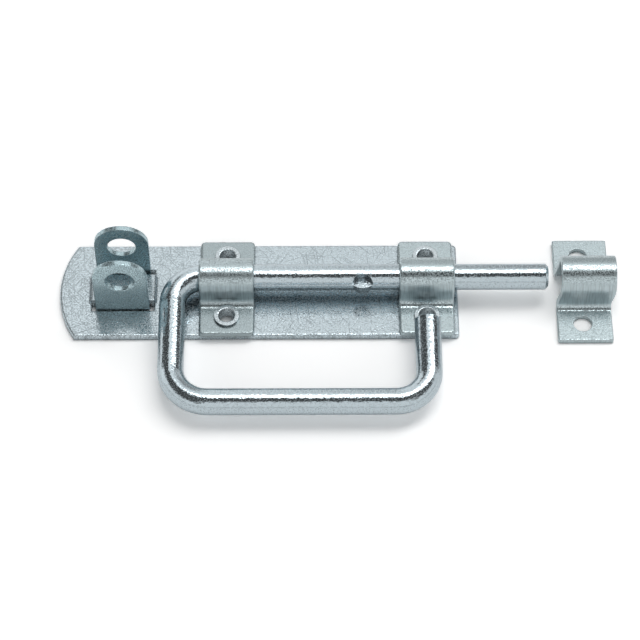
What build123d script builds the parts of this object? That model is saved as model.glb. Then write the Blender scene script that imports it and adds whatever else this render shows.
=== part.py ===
"""Bow handle bolt for a gate or shed door, locked by a padlock through two upright ears.

A round bar slides and turns in two bridge straps on a long back plate. One end of the
bar is bent into a square bow, and the other end shoots into a separate keeper strap.
Millimetres. X runs along the bar towards the keeper, Y to the back, Z up from the
mounting face. The origin is the middle of the four screw eyelets, on the mounting face.
"""

import os
from math import acos, atan2, cos, degrees, hypot, sin

from build123d import *

os.makedirs("parts", exist_ok=True)

# Round bar
bar_d = 12.0
bar_tip_x = 100.9
bar_tip_chamfer = 1.3
bar_lift = 9.8

# Bow handle, bent from the same bar
bow_leg_x = -69.9
bow_reach = 65.7
bow_end_x = 45.5
bow_end_v = 23.0
bow_end_chamfer = 0.8
bow_top_bend_r = 14.0
bow_near_bend_r = 17.0
bow_far_bend_r = 15.0
bow_rest_gap = 0.3

# Stop nib, sheared out of the bar by a round punch
nib_x = 16.3
nib_punch_r = 5.0
nib_punch_v = 6.9
nib_floor_h = 2.0
nib_wing_half = 4.8
nib_wing_v = 5.3
nib_reach_v = 7.2
nib_root_v = 4.0

# Back plate
plate_x0 = -122.4
plate_x1 = 60.2
plate_w = 51.0
plate_t = 3.0
plate_crown = 7.4
plate_left_r = 3.0
plate_right_r = 1.8
plate_edge_r = 0.8

# Screw eyelets, a pattern of four
hole_pitch_x = 91.2
hole_pitch_y = 33.2
eyelet_bore_r = 3.6
eyelet_wall = 0.9
eyelet_head_r = 5.7
eyelet_head_h = 1.4
eyelet_flare_h = 1.2
eyelet_inner_round = 0.5
eyelet_outer_round = 1.1
eyelet_fit = 0.05
eyelet_recess = 0.05

# Bridge straps
strap_w = 25.0
strap_overhang = 0.5
strap_t = 2.4
strap_play = 0.5
strap_foot_r = 3.4
strap_corner_r = 2.0
strap_edge_r = 0.8

# Padlock staple
staple_x = -93.2
staple_w = 24.6
staple_t = 2.5
staple_gap = 17.0
staple_top = 37.8
staple_bend_r = 1.2
staple_shoulder_r = 11.8
staple_edge_r = 0.4
padlock_hole_r = 6.5
padlock_hole_z = 24.8

# Slots and raised bridge over the staple web
slot_end_play = 2.1
slot_side_play = 0.6
bridge_ramp = 1.0
bridge_wall = 2.2
bridge_round = 0.7
web_play = 0.05

# Keeper strap
keeper_x = 117.6
keeper_w = 25.0
keeper_len = 56.4
keeper_t = 2.5
keeper_play = 1.0
keeper_foot_r = 3.0
keeper_lean = 1.5
keeper_corner_r = 0.7
keeper_edge_r = 0.5
keeper_hole_pitch = 38.0
keeper_hole_r = 4.3
keeper_hole_shift = -1.0

# How squarely a face has to look outwards to count as the skin of a bent strap
skin_facing = 0.5

bar_r = bar_d / 2
axis_z = plate_t + bar_lift
flange_z = plate_t + strap_t
strap_len = plate_w + 2 * strap_overhang
strap_crown_r = bar_r + strap_play + strap_t
eyelet_tube_r = eyelet_bore_r + eyelet_wall

# The bow's end leg comes down on the front edge of its strap, which sets the rest angle
edge_y = strap_len / 2
edge_drop = axis_z - flange_z
rest_angle = acos((bar_r + bow_rest_gap) / hypot(edge_y, edge_drop)) - atan2(edge_y, edge_drop)
bow_plane = Plane(
    origin=(0, 0, axis_z),
    x_dir=(1, 0, 0),
    z_dir=(0, -sin(rest_angle), cos(rest_angle)),
)


def strap_section(length, base_z, thickness, crown_r, foot_r):
    """Return the hat-shaped section of a bent strap, drawn in Y and Z."""
    top_z = base_z + thickness
    foot_y = crown_r + foot_r
    with BuildSketch() as section:
        with BuildLine():
            crown = JernArc(
                start=(0, axis_z + crown_r), tangent=(1, 0), radius=crown_r, arc_size=-90
            )
            wall = Line(crown @ 1, (crown_r, top_z + foot_r))
            foot = JernArc(start=wall @ 1, tangent=(0, -1), radius=foot_r, arc_size=90)
            flange = Line(foot @ 1, (length / 2, top_z))
            end = Line(flange @ 1, (length / 2, base_z))
            under = Line(end @ 1, (foot_y, base_z))
            heel = JernArc(
                start=under @ 1, tangent=(-1, 0), radius=foot_r + thickness, arc_size=-90
            )
            inner = Line(heel @ 1, (crown_r - thickness, axis_z))
            JernArc(
                start=inner @ 1, tangent=(0, 1), radius=crown_r - thickness, arc_size=90
            )
            mirror(about=Plane.YZ)
        make_face()
    return section.sketch


def skin_outline(all_faces, top_z):
    """Return the edges that border the outer skin of a bent strap, whose flanges end at top_z."""
    skin = ShapeList()
    rest = ShapeList()
    for face in all_faces:
        normal = face.normal_at()
        is_wall = face.center().Z > top_z and normal.Y * face.center().Y > skin_facing
        (skin if normal.Z > skin_facing or is_wall else rest).append(face)
    return skin.edges() & rest.edges()


# Back plate, with a crowned left end, two slots and a raised bridge between them
bridge_y = staple_gap / 2 - staple_bend_r - web_play
slot_y1 = staple_gap / 2 + staple_t + slot_side_play
slot_half = staple_w / 2 + slot_end_play
bridge_z = staple_t + web_play + plate_t
bridge_foot = slot_half + bridge_ramp
pocket_half = bridge_foot - bridge_wall
staple_plane = Plane(origin=(staple_x, 0, 0), x_dir=(1, 0, 0), z_dir=(0, -1, 0))

with BuildPart() as back_plate:
    with BuildSketch():
        with BuildLine():
            rear = Line((plate_x0 + plate_crown, plate_w / 2), (plate_x1, plate_w / 2))
            right = Line(rear @ 1, (plate_x1, -plate_w / 2))
            front = Line(right @ 1, (plate_x0 + plate_crown, -plate_w / 2))
            ThreePointArc(front @ 1, (plate_x0, 0), rear @ 0)
        make_face()
        corners = vertices().group_by(Axis.X)
        fillet(corners[-1], radius=plate_right_r)
        fillet(corners[0], radius=plate_left_r)
    extrude(amount=plate_t)
    fillet(faces().sort_by(Axis.Z)[-1].edges(), radius=plate_edge_r)
    with BuildSketch():
        with Locations((staple_x, 0)):
            Rectangle(2 * slot_half, 2 * slot_y1)
            Rectangle(2 * bridge_foot, 2 * bridge_y)
    extrude(amount=plate_t, mode=Mode.SUBTRACT)
    with BuildSketch(staple_plane):
        with BuildLine():
            Polyline(
                (0, bridge_z),
                (slot_half, bridge_z),
                (bridge_foot, plate_t),
                (bridge_foot, 0),
                (pocket_half, 0),
                (pocket_half, bridge_z - plate_t),
                (0, bridge_z - plate_t),
            )
            mirror(about=Plane.YZ)
        make_face()
    extrude(amount=bridge_y, both=True)
    shoulder = edges().filter_by(Axis.Y).group_by(Axis.Z)[-1]
    fillet(shoulder, radius=bridge_round)
    with Locations(Plane.XY.rotated((180, 0, 0))):
        with GridLocations(hole_pitch_x, hole_pitch_y, 2, 2):
            CounterSinkHole(
                radius=eyelet_tube_r + eyelet_fit,
                counter_sink_radius=eyelet_tube_r + eyelet_flare_h + 2 * eyelet_fit,
                counter_sink_angle=90,
            )

# Padlock staple, a strip bent to a U whose web lies under the raised bridge
ear_y = (staple_gap + staple_t) / 2
with BuildPart() as hasp_staple:
    with BuildSketch(Plane.YZ.offset(staple_x - staple_w / 2)):
        with BuildLine():
            FilletPolyline(
                (-ear_y - staple_t / 2, staple_top),
                (-ear_y - staple_t / 2, 0),
                (ear_y + staple_t / 2, 0),
                (ear_y + staple_t / 2, staple_top),
                radius=staple_bend_r + staple_t,
            )
            Line((ear_y + staple_t / 2, staple_top), (ear_y - staple_t / 2, staple_top))
            FilletPolyline(
                (ear_y - staple_t / 2, staple_top),
                (ear_y - staple_t / 2, staple_t),
                (-ear_y + staple_t / 2, staple_t),
                (-ear_y + staple_t / 2, staple_top),
                radius=staple_bend_r,
            )
            Line((-ear_y + staple_t / 2, staple_top), (-ear_y - staple_t / 2, staple_top))
        make_face()
    extrude(amount=staple_w)
    with BuildSketch(staple_plane):
        Rectangle(staple_w, staple_top, align=(Align.CENTER, Align.MIN))
        fillet(vertices().group_by(Axis.Y)[-1], radius=staple_shoulder_r)
        with Locations((0, padlock_hole_z)):
            Circle(padlock_hole_r, mode=Mode.SUBTRACT)
    extrude(amount=staple_gap, both=True, mode=Mode.INTERSECT)
    outer_faces = faces().filter_by(Plane.XZ)
    ear_rims = outer_faces.sort_by(Axis.Y)[0].edges() + outer_faces.sort_by(Axis.Y)[-1].edges()
    fillet(ear_rims.filter_by(lambda edge: edge.center().Z > padlock_hole_z), radius=staple_edge_r)

# Bridge straps, which guide the bar and are pressed flat under each eyelet head
strap_profile = strap_section(strap_len, plate_t, strap_t, strap_crown_r, strap_foot_r)
strap_parts = []
for name, side in (("rear_strap", -1), ("front_strap", 1)):
    strap_x = side * hole_pitch_x / 2
    with BuildPart() as strap:
        with BuildSketch(Plane.YZ.offset(strap_x)):
            add(strap_profile)
        extrude(amount=strap_w / 2, both=True)
        ends = faces().sort_by(Axis.Y)
        fillet(ends[0].edges().filter_by(Axis.Z), radius=strap_corner_r)
        ends = faces().sort_by(Axis.Y)
        fillet(ends[-1].edges().filter_by(Axis.Z), radius=strap_corner_r)
        fillet(skin_outline(faces(), flange_z), radius=strap_edge_r)
        with Locations((strap_x, 0)):
            with GridLocations(0, hole_pitch_y, 1, 2):
                Hole(radius=eyelet_tube_r + eyelet_fit)
        with Locations((strap_x, 0, flange_z)):
            with GridLocations(0, hole_pitch_y, 1, 2):
                Cylinder(
                    radius=eyelet_head_r + eyelet_fit,
                    height=strap_foot_r,
                    align=(Align.CENTER, Align.CENTER, Align.MIN),
                    mode=Mode.SUBTRACT,
                )
    strap.part.label = name
    strap_parts.append(strap.part)

# Screw eyelets, rolled over on the strap and flared under the plate
head_z = flange_z + eyelet_head_h
flare_low_r = eyelet_tube_r + eyelet_flare_h - eyelet_recess
flare_wall = eyelet_wall * 2 ** 0.5
eyelet_parts = []
for end_name, end_side in (("rear", -1), ("front", 1)):
    for row_name, row_side in (("upper", 1), ("lower", -1)):
        eyelet_x = end_side * hole_pitch_x / 2
        eyelet_y = row_side * hole_pitch_y / 2
        with BuildPart() as eyelet:
            with BuildSketch(Plane(origin=(eyelet_x, eyelet_y, 0), x_dir=(1, 0, 0), z_dir=(0, -1, 0))):
                with BuildLine():
                    Polyline(
                        (eyelet_bore_r, head_z),
                        (eyelet_head_r, head_z),
                        (eyelet_head_r, flange_z),
                        (eyelet_tube_r, flange_z),
                        (eyelet_tube_r, eyelet_flare_h),
                        (flare_low_r, eyelet_recess),
                        (flare_low_r - flare_wall, eyelet_recess),
                        (eyelet_bore_r, eyelet_recess + flare_low_r - flare_wall - eyelet_bore_r),
                        close=True,
                    )
                make_face()
                rim = vertices().group_by(Axis.Y)[-1].sort_by(Axis.X)
                fillet(rim[0], radius=eyelet_inner_round)
                fillet(rim[-1], radius=eyelet_outer_round)
            revolve(axis=Axis((eyelet_x, eyelet_y, 0), (0, 0, 1)))
        eyelet.part.label = f"{end_name}_{row_name}_eyelet"
        eyelet_parts.append(eyelet.part)

# Wing of metal that the punch pushed out of the bar
with BuildPart() as stop_wing:
    with BuildSketch(bow_plane):
        with BuildLine():
            ThreePointArc(
                (nib_x - nib_wing_half, -nib_wing_v),
                (nib_x, -nib_reach_v),
                (nib_x + nib_wing_half, -nib_wing_v),
            )
            Polyline(
                (nib_x + nib_wing_half, -nib_wing_v),
                (nib_x + nib_wing_half, -nib_root_v),
                (nib_x - nib_wing_half, -nib_root_v),
                (nib_x - nib_wing_half, -nib_wing_v),
            )
        make_face()
    extrude(amount=nib_wing_half, both=True)
    with BuildSketch(Plane(origin=bow_plane.origin, x_dir=(1, 0, 0), z_dir=-bow_plane.y_dir)):
        with Locations((nib_x, nib_floor_h)):
            Circle(nib_wing_half)
            Rectangle(
                2 * nib_wing_half, nib_wing_half, align=(Align.CENTER, Align.MIN), mode=Mode.SUBTRACT
            )
    extrude(amount=nib_reach_v, mode=Mode.INTERSECT)

# Bolt bar, bent to a bow at the left and sheared to a stop nib
with BuildPart() as bolt_bar:
    with BuildLine(bow_plane) as bar_path:
        FilletPolyline(
            (bar_tip_x, 0),
            (bow_leg_x, 0),
            (bow_leg_x, -bow_reach),
            (bow_end_x, -bow_reach),
            (bow_end_x, -bow_end_v),
            radius=(bow_top_bend_r, bow_near_bend_r, bow_far_bend_r),
        )
    with BuildSketch(Plane(origin=bar_path.line @ 0, z_dir=bar_path.line % 0)):
        Circle(bar_r)
    sweep(path=bar_path.line)
    flats = faces().filter_by(GeomType.PLANE).sort_by(Axis.X)
    chamfer(flats[-1].edges(), length=bar_tip_chamfer)
    flats = faces().filter_by(GeomType.PLANE).sort_by(Axis.X)
    chamfer(flats[0].edges(), length=bow_end_chamfer)
    with BuildSketch(bow_plane.offset(nib_floor_h)):
        with Locations((nib_x, -nib_punch_v)):
            Circle(nib_punch_r)
    extrude(amount=bar_r, mode=Mode.SUBTRACT)
    add(stop_wing.part)

# Keeper strap, a separate bent strap with a wider eye, whose crest leans away from the plate
keeper_crown_r = bar_r + keeper_play + keeper_t
keeper_profile = strap_section(keeper_len, 0, keeper_t, keeper_crown_r, keeper_foot_r)
keeper_front = Plane(origin=(keeper_x, 0, 0), x_dir=(1, 0, 0), z_dir=(0, -1, 0))
keeper_top = axis_z + keeper_crown_r
with BuildPart() as keeper_strap:
    with BuildSketch(Plane.YZ.offset(keeper_x)):
        add(keeper_profile)
    extrude(amount=keeper_w / 2 + keeper_lean, both=True)
    with BuildSketch(keeper_front):
        with BuildLine():
            left_foot = Line((-keeper_w / 2, 0), (-keeper_w / 2, keeper_t))
            left_lean = Spline(
                left_foot @ 1,
                (keeper_lean - keeper_w / 2, axis_z),
                tangents=((0, 1), (0, 1)),
            )
            left_crest = Line(left_lean @ 1, (keeper_lean - keeper_w / 2, keeper_top))
            crest = Line(left_crest @ 1, (keeper_lean + keeper_w / 2, keeper_top))
            right_crest = Line(crest @ 1, (keeper_lean + keeper_w / 2, axis_z))
            right_lean = Spline(
                right_crest @ 1,
                (keeper_w / 2, keeper_t),
                tangents=((0, -1), (0, -1)),
            )
            right_foot = Line(right_lean @ 1, (keeper_w / 2, 0))
            Line(right_foot @ 1, left_foot @ 0)
        make_face()
    extrude(amount=keeper_len, both=True, mode=Mode.INTERSECT)
    ends = faces().sort_by(Axis.Y)
    fillet(ends[0].edges().filter_by(Axis.Z), radius=keeper_corner_r)
    ends = faces().sort_by(Axis.Y)
    fillet(ends[-1].edges().filter_by(Axis.Z), radius=keeper_corner_r)
    fillet(skin_outline(faces(), keeper_t), radius=keeper_edge_r)
    with Locations((keeper_x + keeper_hole_shift, 0)):
        with GridLocations(0, keeper_hole_pitch, 1, 2):
            Hole(radius=keeper_hole_r)

back_plate.part.label = "back_plate"
hasp_staple.part.label = "hasp_staple"
bolt_bar.part.label = "bolt_bar"
keeper_strap.part.label = "keeper_strap"

export_step(back_plate.part, "parts/back_plate.step")
export_step(hasp_staple.part, "parts/hasp_staple.step")
export_step(bolt_bar.part, "parts/bolt_bar.step")
export_step(keeper_strap.part, "parts/keeper_strap.step")
for piece in strap_parts + eyelet_parts:
    export_step(piece, f"parts/{piece.label}.step")

print(f"rest angle of the bow {degrees(rest_angle):.2f} degrees")
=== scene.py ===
"""Looks of the bow handle bolt: bright zinc plate on bent strip and drawn round bar.

Metres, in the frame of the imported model: X along the bar towards the keeper, Y to the back,
Z up from the mounting face.
"""

import math

import bpy
from mathutils import Matrix, Vector


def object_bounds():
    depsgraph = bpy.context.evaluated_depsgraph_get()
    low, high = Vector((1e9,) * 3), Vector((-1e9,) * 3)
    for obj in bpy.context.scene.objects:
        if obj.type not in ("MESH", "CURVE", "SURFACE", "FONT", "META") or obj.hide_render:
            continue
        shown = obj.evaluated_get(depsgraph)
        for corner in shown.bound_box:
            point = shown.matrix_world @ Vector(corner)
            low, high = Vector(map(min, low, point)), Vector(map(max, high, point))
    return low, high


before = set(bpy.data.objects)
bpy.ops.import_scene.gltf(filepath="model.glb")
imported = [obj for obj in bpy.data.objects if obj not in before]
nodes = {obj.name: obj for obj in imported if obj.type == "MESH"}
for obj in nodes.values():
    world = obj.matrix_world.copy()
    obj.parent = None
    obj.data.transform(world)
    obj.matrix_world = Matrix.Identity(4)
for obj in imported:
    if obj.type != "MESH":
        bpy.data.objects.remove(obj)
cad_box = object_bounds()

# Camera, as solved from the photograph's edges
CAMERA_PLACE = (-0.00516, -0.65154, 0.91482)
CAMERA_DOWN = math.radians(55.162)
CAMERA_TURN = math.radians(0.187)
CAMERA_ROLL = math.radians(-0.040)
CAMERA_FOCAL_PX = 2438.4
CAMERA_CLIP_START = 0.01
PICTURE_PX = 640
SENSOR_MM = 36.0

# Floor: its tone as it lights the object, as the camera sees it, and as the zinc mirrors it
FLOOR_HALF = 4.0
FLOOR_GAP = 0.0001
FLOOR_TONE = 0.7
FLOOR_SHOWN = 1.36
FLOOR_MIRRORED = 1.1

# Softbox: one rectangular lamp overhead, to the back right
SOFTBOX_SIZE = (2.88, 0.90)
SOFTBOX_PLACE = (1.01, 0.897, 2.25)
SOFTBOX_TURN = math.radians(25)
SOFTBOX_RADIANCE = 3.7

# World: a studio's walls as levels of light. The back wall is bright at the left, dim at the right
# and brighter again at the far right, and its upper part is more even. The front wall has a dim
# stripe just above the floor. The ceiling, the tops of the sides and one panel a side are dark.
BACK_LEFT_LIGHT = 1.1
BACK_RIGHT_LIGHT = 0.42
BACK_FAR_LIGHT = 0.85
HIGH_LEFT_LIGHT = 1.12
HIGH_RIGHT_LIGHT = 0.82
FRONT_LIGHT = 0.95
FRONT_STRIPE_LIGHT = 0.55
DARK_LIGHT = 0.09

# Borders between those levels: the ray's x, y or z where one ends and the next begins
BACK_LEFT_TO_RIGHT_X = (-0.07, 0.12)
BACK_RIGHT_TO_FAR_X = (0.35, 0.60)
HIGH_LEFT_TO_RIGHT_X = (-0.11, 0.13)
BACK_LOW_TO_HIGH_Z = (0.62, 0.80)
FRONT_TO_BACK_Y = (-0.1, 0.1)
FRONT_STRIPE_Z = 0.11
FRONT_STRIPE_REACH = (0.02, 0.08)
CEILING_Z = (0.78, 0.84)
CEILING_END_Y = (0.1, 0.25)
LEFT_SIDE_X = (-0.27, -0.16)
RIGHT_SIDE_X = (0.42, 0.55)
SIDE_TOP_Z = (0.50, 0.65)
PANEL_Y = 0.55
PANEL_REACH = (0.10, 0.17)
LEFT_PANEL_Z = (0.14, 0.30)
RIGHT_PANEL_Z = (0.04, 0.18)

# Zinc: its colour on each kind of piece
ZINC_BAR = (0.52, 0.60, 0.64)
ZINC_PLATE = (0.58, 0.664, 0.704)
ZINC_STRAP = (0.52, 0.608, 0.631)
ZINC_STAPLE = (0.49, 0.63, 0.67)
ZINC_EYELET = (0.62, 0.69, 0.72)

# Specks and painted corner shade of all zinc: their tone is a share of the piece's colour. Shade is
# painted where surfaces within reach (metres) leave a point less than this open share of its
# surroundings.
SPECK_TONE = 0.62
CORNER_SHADE_TONE = 0.25
CORNER_SHADE_REACH = 0.0012
CORNER_SHADE_OPEN = (0.25, 0.85)
SHADER_SAMPLES = 6

# Rolled strip: scales are noise cycles per metre, and a pit is there where the noise passes a range
SHEET_GRAIN_SCALE = 1250.0
SHEET_BROAD_SCALE = 260.0
SHEET_BROAD_SHARE = 0.25
SHEET_PIT_RANGE = (0.44, 0.60)
SHEET_PIT_SHADE = 0.8
SHEET_PIT_ROUGHNESS = 0.55

# Hairline scratches, in five directions
HAIRLINE_TURNS = (8, 47, 83, 121, 158)
HAIRLINE_SHIFT = 0.37
HAIRLINE_SCALE = (70.0, 1700.0, 70.0)
HAIRLINE_RANGE = (0.70, 0.75)
HAIRLINE_DEPTH = 0.2

# Marks of the bending die down the walls of a strap: a wall is where the normal's z is low
WALL_FACING = (0.35, 0.80)
WALL_ROUGHNESS = 0.36
DIE_MARK_SCALE = (1500.0, 110.0, 110.0)
DIE_MARK_RANGE = (0.42, 0.62)
DIE_MARK_SHADE = 0.5
DIE_MARK_HEIGHT = 2.0

# Painted shade on the feet of the rear strap, up to this height
FEET_SHADE_Z = (0.006, 0.008)

# Drawn bar: the legs of the bow run along Y between these borders
LEG_NEAR_Y = (-0.014, -0.008)
LEG_FAR_Y = (-0.060, -0.052)
BAR_RUN_SCALE = (850.0, 1200.0, 1200.0)
BAR_LEG_SCALE = (1200.0, 850.0, 1200.0)
BAR_BROAD_SCALE = 300.0
BAR_BROAD_SHARE = 0.4
BAR_PIT_SCALE = 1650.0
BAR_PIT_RANGE = (0.50, 0.64)
BAR_PIT_SHADE = 0.4
BAR_ROUGHNESS = 0.10
BAR_PIT_ROUGHNESS = 0.36
BAR_DEPTH = 0.000085
BAR_SOFTNESS = 0.0003


class Graph:
    """A node tree with short calls: add a node, set its inputs by value or by link."""

    def __init__(self, tree):
        self.tree = tree
        tree.nodes.clear()

    def add(self, kind, inputs=None, **settings):
        made = self.tree.nodes.new(kind)
        for name, value in settings.items():
            setattr(made, name, value)
        for name, value in (inputs or {}).items():
            socket = made.inputs[name]
            if isinstance(value, bpy.types.NodeSocket):
                self.tree.links.new(value, socket)
            else:
                socket.default_value = value
        return made

    def math(self, operation, a, b=0.0):
        return self.add("ShaderNodeMath", {0: a, 1: b}, operation=operation).outputs[0]

    def ramp(self, value, border, before=0.0, after=1.0):
        """A smooth step from before to after, as value crosses the border's two ends."""
        low, high = border
        return self.add("ShaderNodeMapRange", {0: value, 1: low, 2: high, 3: before, 4: after},
                        interpolation_type="SMOOTHSTEP").outputs[0]

    def mix(self, share, a, b):
        """a where share is 0 and b where it is 1."""
        return self.add("ShaderNodeMix", {0: share, 2: a, 3: b}).outputs[0]

    def distance(self, value, centre):
        return self.math("ABSOLUTE", self.math("SUBTRACT", value, centre))

    def split(self, vector):
        return self.add("ShaderNodeSeparateXYZ", {0: vector}).outputs

    def grey(self, level):
        return self.add("ShaderNodeCombineColor", {0: level, 1: level, 2: level}).outputs[0]

    def stretched(self, place, scale, turn=0.0, shift=0.0):
        """place after a turn about Z and a shift, then scaled on each axis."""
        turned = self.add("ShaderNodeVectorRotate", {"Vector": place, "Angle": turn},
                          rotation_type="Z_AXIS").outputs[0]
        moved = self.add("ShaderNodeVectorMath", {0: turned, 1: (shift, shift, shift)},
                         operation="ADD").outputs[0]
        return self.add("ShaderNodeVectorMath", {0: moved, 1: scale}, operation="MULTIPLY").outputs[0]

    def noise(self, place, scale=1.0, detail=2.0):
        return self.add("ShaderNodeTexNoise",
                        {"Vector": place, "Scale": scale, "Detail": detail}).outputs[0]


def make_camera():
    forward = Vector((
        math.sin(CAMERA_TURN) * math.cos(CAMERA_DOWN),
        math.cos(CAMERA_TURN) * math.cos(CAMERA_DOWN),
        -math.sin(CAMERA_DOWN),
    ))
    level = forward.cross(Vector((0, 0, 1))).normalized()
    rise = level.cross(forward)
    right = level * math.cos(CAMERA_ROLL) + rise * math.sin(CAMERA_ROLL)
    up = right.cross(forward)
    data = bpy.data.cameras.new("camera")
    data.sensor_width = SENSOR_MM
    data.lens = CAMERA_FOCAL_PX / PICTURE_PX * SENSOR_MM
    data.clip_start = CAMERA_CLIP_START
    camera = bpy.data.objects.new("camera", data)
    camera.matrix_world = Matrix((
        (right.x, up.x, -forward.x, CAMERA_PLACE[0]),
        (right.y, up.y, -forward.y, CAMERA_PLACE[1]),
        (right.z, up.z, -forward.z, CAMERA_PLACE[2]),
        (0, 0, 0, 1),
    ))
    bpy.context.scene.collection.objects.link(camera)
    bpy.context.scene.camera = camera


def make_softbox():
    data = bpy.data.lights.new("softbox", "AREA")
    data.shape = "RECTANGLE"
    data.size, data.size_y = SOFTBOX_SIZE
    data.energy = SOFTBOX_RADIANCE * math.pi * data.size * data.size_y
    light = bpy.data.objects.new("softbox", data)
    light.location = SOFTBOX_PLACE
    light.rotation_euler.z = SOFTBOX_TURN
    bpy.context.scene.collection.objects.link(light)


def make_world():
    """The walls as levels of light, over the direction that a ray leaves in."""
    world = bpy.data.worlds.new("studio")
    world.use_nodes = True
    g = Graph(world.node_tree)
    x, y, z = g.split(g.add("ShaderNodeTexCoord").outputs["Generated"])

    back_right = g.ramp(x, BACK_RIGHT_TO_FAR_X, BACK_RIGHT_LIGHT, BACK_FAR_LIGHT)
    back_low = g.mix(g.ramp(x, BACK_LEFT_TO_RIGHT_X), BACK_LEFT_LIGHT, back_right)
    back_high = g.ramp(x, HIGH_LEFT_TO_RIGHT_X, HIGH_LEFT_LIGHT, HIGH_RIGHT_LIGHT)
    back = g.mix(g.ramp(z, BACK_LOW_TO_HIGH_Z), back_low, back_high)
    off_stripe = g.distance(z, FRONT_STRIPE_Z)
    front = g.ramp(off_stripe, FRONT_STRIPE_REACH, FRONT_STRIPE_LIGHT, FRONT_LIGHT)
    wall = g.mix(g.ramp(y, FRONT_TO_BACK_Y), front, back)

    ceiling = g.math("MULTIPLY", g.ramp(z, CEILING_Z), g.ramp(y, CEILING_END_Y, 1.0, 0.0))
    side_top = g.ramp(z, SIDE_TOP_Z)
    panel = g.ramp(g.distance(y, PANEL_Y), PANEL_REACH, 1.0, 0.0)
    left_panel = g.math("MULTIPLY", panel, g.ramp(z, LEFT_PANEL_Z))
    right_panel = g.math("MULTIPLY", panel, g.ramp(z, RIGHT_PANEL_Z))
    left = g.math("MULTIPLY", g.ramp(x, LEFT_SIDE_X, 1.0, 0.0), g.math("MAXIMUM", side_top, left_panel))
    right = g.math("MULTIPLY", g.ramp(x, RIGHT_SIDE_X), g.math("MAXIMUM", side_top, right_panel))
    dark = g.math("MAXIMUM", ceiling, g.math("MAXIMUM", left, right))

    light = g.grey(g.mix(dark, wall, DARK_LIGHT))
    background = g.add("ShaderNodeBackground", {"Color": light, "Strength": 1.0}).outputs[0]
    g.add("ShaderNodeOutputWorld", {"Surface": background})
    bpy.context.scene.world = world


def make_floor():
    mesh = bpy.data.meshes.new("floor")
    h = FLOOR_HALF
    mesh.from_pydata([(-h, -h, 0), (h, -h, 0), (h, h, 0), (-h, h, 0)], [], [(0, 1, 2, 3)])
    floor = bpy.data.objects.new("floor", mesh)
    floor.location.z = cad_box[0].z - FLOOR_GAP
    material = bpy.data.materials.new("floor")
    material.use_nodes = True
    g = Graph(material.node_tree)
    path = g.add("ShaderNodeLightPath").outputs
    mirrored = g.math("MAXIMUM", path["Is Glossy Ray"], path["Is Transmission Ray"])
    tone = g.mix(path["Is Camera Ray"], g.mix(mirrored, FLOOR_TONE, FLOOR_MIRRORED), FLOOR_SHOWN)
    paper = g.add("ShaderNodeBsdfDiffuse", {"Color": g.grey(tone)}).outputs[0]
    g.add("ShaderNodeOutputMaterial", {"Surface": paper})
    mesh.materials.append(material)
    bpy.context.scene.collection.objects.link(floor)


def hairlines(g, place):
    """Fine straight scratches in several directions: 1 on a scratch, 0 beside it."""
    total = 0.0
    for number, turn in enumerate(HAIRLINE_TURNS):
        along = g.stretched(place, HAIRLINE_SCALE, math.radians(turn), HAIRLINE_SHIFT * number)
        line = g.ramp(g.noise(along, detail=0.0), HAIRLINE_RANGE)
        total = g.math("MAXIMUM", total, line)
    return total


def finish_zinc(g, tint, height, roughness, shade, depth, softness):
    """The shader for zinc. height is the bump's, in units of depth, and shade is 0 on clean zinc
    and 1 on a speck. Edges look rolled over by softness, and corners that other surfaces close in
    on are darkened by painted shade."""
    light = (*tint, 1)
    dark = (*(SPECK_TONE * c for c in tint), 1)
    speckled = g.add("ShaderNodeMix", {0: shade, 6: light, 7: dark}, data_type="RGBA").outputs[2]
    # Painted shade: the zinc's colour is darkened in corners that nearby surfaces close in on
    open_share = g.add("ShaderNodeAmbientOcclusion", {"Distance": CORNER_SHADE_REACH},
                       samples=SHADER_SAMPLES).outputs["AO"]
    painted_corner_shade = g.ramp(open_share, CORNER_SHADE_OPEN, CORNER_SHADE_TONE, 1.0)
    toned = g.add("ShaderNodeVectorMath", {0: speckled, 1: painted_corner_shade}, operation="MULTIPLY").outputs[0]
    soft = g.add("ShaderNodeBevel", {"Radius": softness}, samples=SHADER_SAMPLES).outputs[0]
    bump = g.add("ShaderNodeBump", {"Distance": depth, "Height": height, "Normal": soft}).outputs[0]
    shader = g.add("ShaderNodeBsdfPrincipled", {
        "Base Color": toned, "Metallic": 1.0, "Roughness": roughness, "Normal": bump,
    }).outputs[0]
    g.add("ShaderNodeOutputMaterial", {"Surface": shader})


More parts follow.
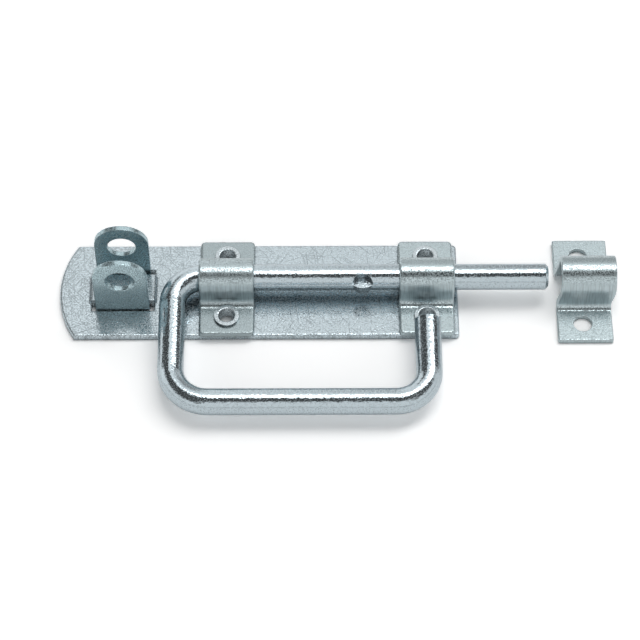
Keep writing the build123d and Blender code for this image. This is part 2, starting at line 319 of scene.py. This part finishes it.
def sheet_zinc(name, tint, depth, softness=0.0004, roughness=0.14, pit_scale=1800.0,
               scratched=False, drawn=False, painted_feet_shade=0.0):
    """Zinc on rolled strip: a fine grain and tiny dull pits. It has hairlines in all directions
    where it is scratched, the marks of the bending die down its walls where it is drawn, and
    painted shade on its feet by the share in the last argument."""
    material = bpy.data.materials.new(name)
    material.use_nodes = True
    g = Graph(material.node_tree)
    coordinates = g.add("ShaderNodeTexCoord").outputs
    place = coordinates["Object"]
    grain = g.noise(place, SHEET_GRAIN_SCALE, 1.0)
    broad = g.noise(place, SHEET_BROAD_SCALE)
    height = g.math("ADD", grain, g.math("MULTIPLY", broad, SHEET_BROAD_SHARE))
    pits = g.ramp(g.noise(place, pit_scale), SHEET_PIT_RANGE)
    shade = g.math("MULTIPLY", pits, SHEET_PIT_SHADE)
    rough = g.mix(pits, roughness, SHEET_PIT_ROUGHNESS)
    if scratched:
        lines = hairlines(g, place)
        height = g.math("SUBTRACT", height, g.math("MULTIPLY", lines, HAIRLINE_DEPTH))
        shade = g.math("MAXIMUM", shade, lines)
    if drawn:
        facing = g.split(coordinates["Normal"])[2]
        wall = g.ramp(g.math("ABSOLUTE", facing), WALL_FACING, 1.0, 0.0)
        marks = g.noise(g.stretched(place, DIE_MARK_SCALE), detail=1.0)
        height = g.mix(wall, height, g.math("MULTIPLY", marks, DIE_MARK_HEIGHT))
        shade = g.mix(wall, shade, g.ramp(marks, DIE_MARK_RANGE, 0.0, DIE_MARK_SHADE))
        rough = g.mix(wall, rough, WALL_ROUGHNESS)
    # Painted shade: the strap's low feet are darkened
    if painted_feet_shade:
        z = g.split(place)[2]
        shade = g.math("MAXIMUM", shade, g.ramp(z, FEET_SHADE_Z, painted_feet_shade, 0.0))
    finish_zinc(g, tint, height, rough, shade, depth, softness)
    return material


def bar_zinc(name):
    """Zinc on drawn bar: the grain is drawn out along the bar, on its long runs and on its legs."""
    material = bpy.data.materials.new(name)
    material.use_nodes = True
    g = Graph(material.node_tree)
    place = g.add("ShaderNodeTexCoord").outputs["Object"]
    y = g.split(place)[1]
    leg = g.math("MULTIPLY", g.ramp(y, LEG_NEAR_Y, 1.0, 0.0), g.ramp(y, LEG_FAR_Y))
    run_grain = g.noise(g.stretched(place, BAR_RUN_SCALE), detail=1.0)
    leg_grain = g.noise(g.stretched(place, BAR_LEG_SCALE), detail=1.0)
    broad = g.noise(place, BAR_BROAD_SCALE)
    height = g.math("ADD", g.mix(leg, run_grain, leg_grain), g.math("MULTIPLY", broad, BAR_BROAD_SHARE))
    pits = g.ramp(g.noise(place, BAR_PIT_SCALE), BAR_PIT_RANGE)
    shade = g.math("MULTIPLY", pits, BAR_PIT_SHADE)
    rough = g.mix(pits, BAR_ROUGHNESS, BAR_PIT_ROUGHNESS)
    finish_zinc(g, ZINC_BAR, height, rough, shade, BAR_DEPTH, BAR_SOFTNESS)
    return material


make_camera()
make_softbox()
make_world()
make_floor()

# Each node's finish: bump depths and edge softnesses are in metres. The eyelets share one.
looks = {
    "back_plate": sheet_zinc("zinc_plate", ZINC_PLATE, depth=0.00004, softness=0.001, roughness=0.11,
                             pit_scale=1600.0, scratched=True),
    "bolt_bar": bar_zinc("zinc_bar"),
    # the rear strap's feet are darkened by painted shade
    "rear_strap": sheet_zinc("zinc_rear_strap", ZINC_STRAP, depth=0.00003, softness=0.001,
                             roughness=0.24, drawn=True, painted_feet_shade=0.75),
    "front_strap": sheet_zinc("zinc_front_strap", ZINC_STRAP, depth=0.00003, softness=0.001,
                              drawn=True),
    "hasp_staple": sheet_zinc("zinc_staple", ZINC_STAPLE, depth=0.00002, roughness=0.20),
    "keeper_strap": sheet_zinc("zinc_keeper", ZINC_STRAP, depth=0.000025, roughness=0.20, drawn=True),
}
eyelet_look = sheet_zinc("zinc_eyelet", ZINC_EYELET, depth=0.00001)
for node_name, node in nodes.items():
    node.data.materials.clear()
    node.data.materials.append(looks.get(node_name, eyelet_look))

bpy.context.scene.view_settings.view_transform = "Standard"
